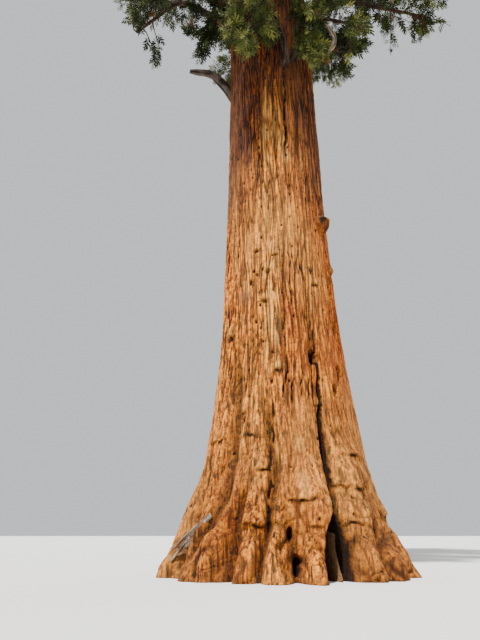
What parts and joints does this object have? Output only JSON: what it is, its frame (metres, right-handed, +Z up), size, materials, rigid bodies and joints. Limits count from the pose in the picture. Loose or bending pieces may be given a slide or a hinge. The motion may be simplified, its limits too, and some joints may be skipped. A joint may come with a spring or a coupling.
{
  "type": "giant sequoia tree",
  "caption": "Old giant sequoia with a flared, buttressed foot, a tall bare cinnamon trunk, dead limbs and a high crown of foliage masses on bent boughs.",
  "frame": {"origin": "middle of the flat cut under the trunk, at ground level", "axes": "+Z up along the trunk, -Y is the front, the side with the two dark low boughs, +X is to the right of it"},
  "size_m": [14.4192, 13.3758, 39.99],
  "materials": {
    "bark": "matt fibrous cinnamon bark in long vertical ridges",
    "bough_bark": "matt dark brown bark",
    "dead_wood": "weathered grey wood with no bark",
    "foliage": "dark green to olive needle sprays, brighter in the sun"
  },
  "bodies": {
    "root": {"trunk": "bark", "dead_limb_left": "dead_wood", "dead_limb_right": "dead_wood", "bough_front_elbow": "bough_bark", "bough_front_rise": "bough_bark", "bough_left_far": "bough_bark", "bough_left_arch": "bough_bark", "bough_right_far": "bough_bark", "bough_right_big": "bough_bark", "bough_tier1_1": "bough_bark", "bough_tier1_2": "bough_bark", "bough_tier1_3": "bough_bark", "bough_tier2_1": "bough_bark", "bough_tier2_2": "bough_bark", "bough_tier2_3": "bough_bark", "bough_tier2_4": "bough_bark", "foliage_front_left": "foliage", "foliage_front_right": "foliage", "foliage_front_elbow": "foliage", "foliage_front_rise": "foliage", "foliage_left_near": "foliage", "foliage_left_far": "foliage", "foliage_left_arch": "foliage", "foliage_right_near": "foliage", "foliage_right_far": "foliage", "foliage_right_big": "foliage", "foliage_tier1_1": "foliage", "foliage_tier1_2": "foliage", "foliage_tier1_3": "foliage", "foliage_tier2_1": "foliage", "foliage_tier2_2": "foliage", "foliage_tier2_3": "foliage", "foliage_tier2_4": "foliage", "foliage_tier3_1": "foliage", "foliage_tier3_2": "foliage", "foliage_tier3_3": "foliage", "foliage_tier3_4": "foliage", "foliage_tier3_5": "foliage", "foliage_tier3_6": "foliage", "foliage_tier4_1": "foliage", "foliage_tier4_2": "foliage", "foliage_tier4_3": "foliage", "foliage_tier4_4": "foliage", "foliage_tier4_5": "foliage", "foliage_tier4_6": "foliage", "foliage_tier5_1": "foliage", "foliage_tier5_2": "foliage", "foliage_tier5_3": "foliage", "foliage_tier5_4": "foliage", "foliage_tier5_5": "foliage", "foliage_tier6_1": "foliage", "foliage_tier6_2": "foliage", "foliage_tier6_3": "foliage", "foliage_tier6_4": "foliage", "foliage_tier7_1": "foliage", "foliage_tier7_2": "foliage", "foliage_tier7_3": "foliage", "foliage_top": "foliage"}
  },
  "joints": []
}
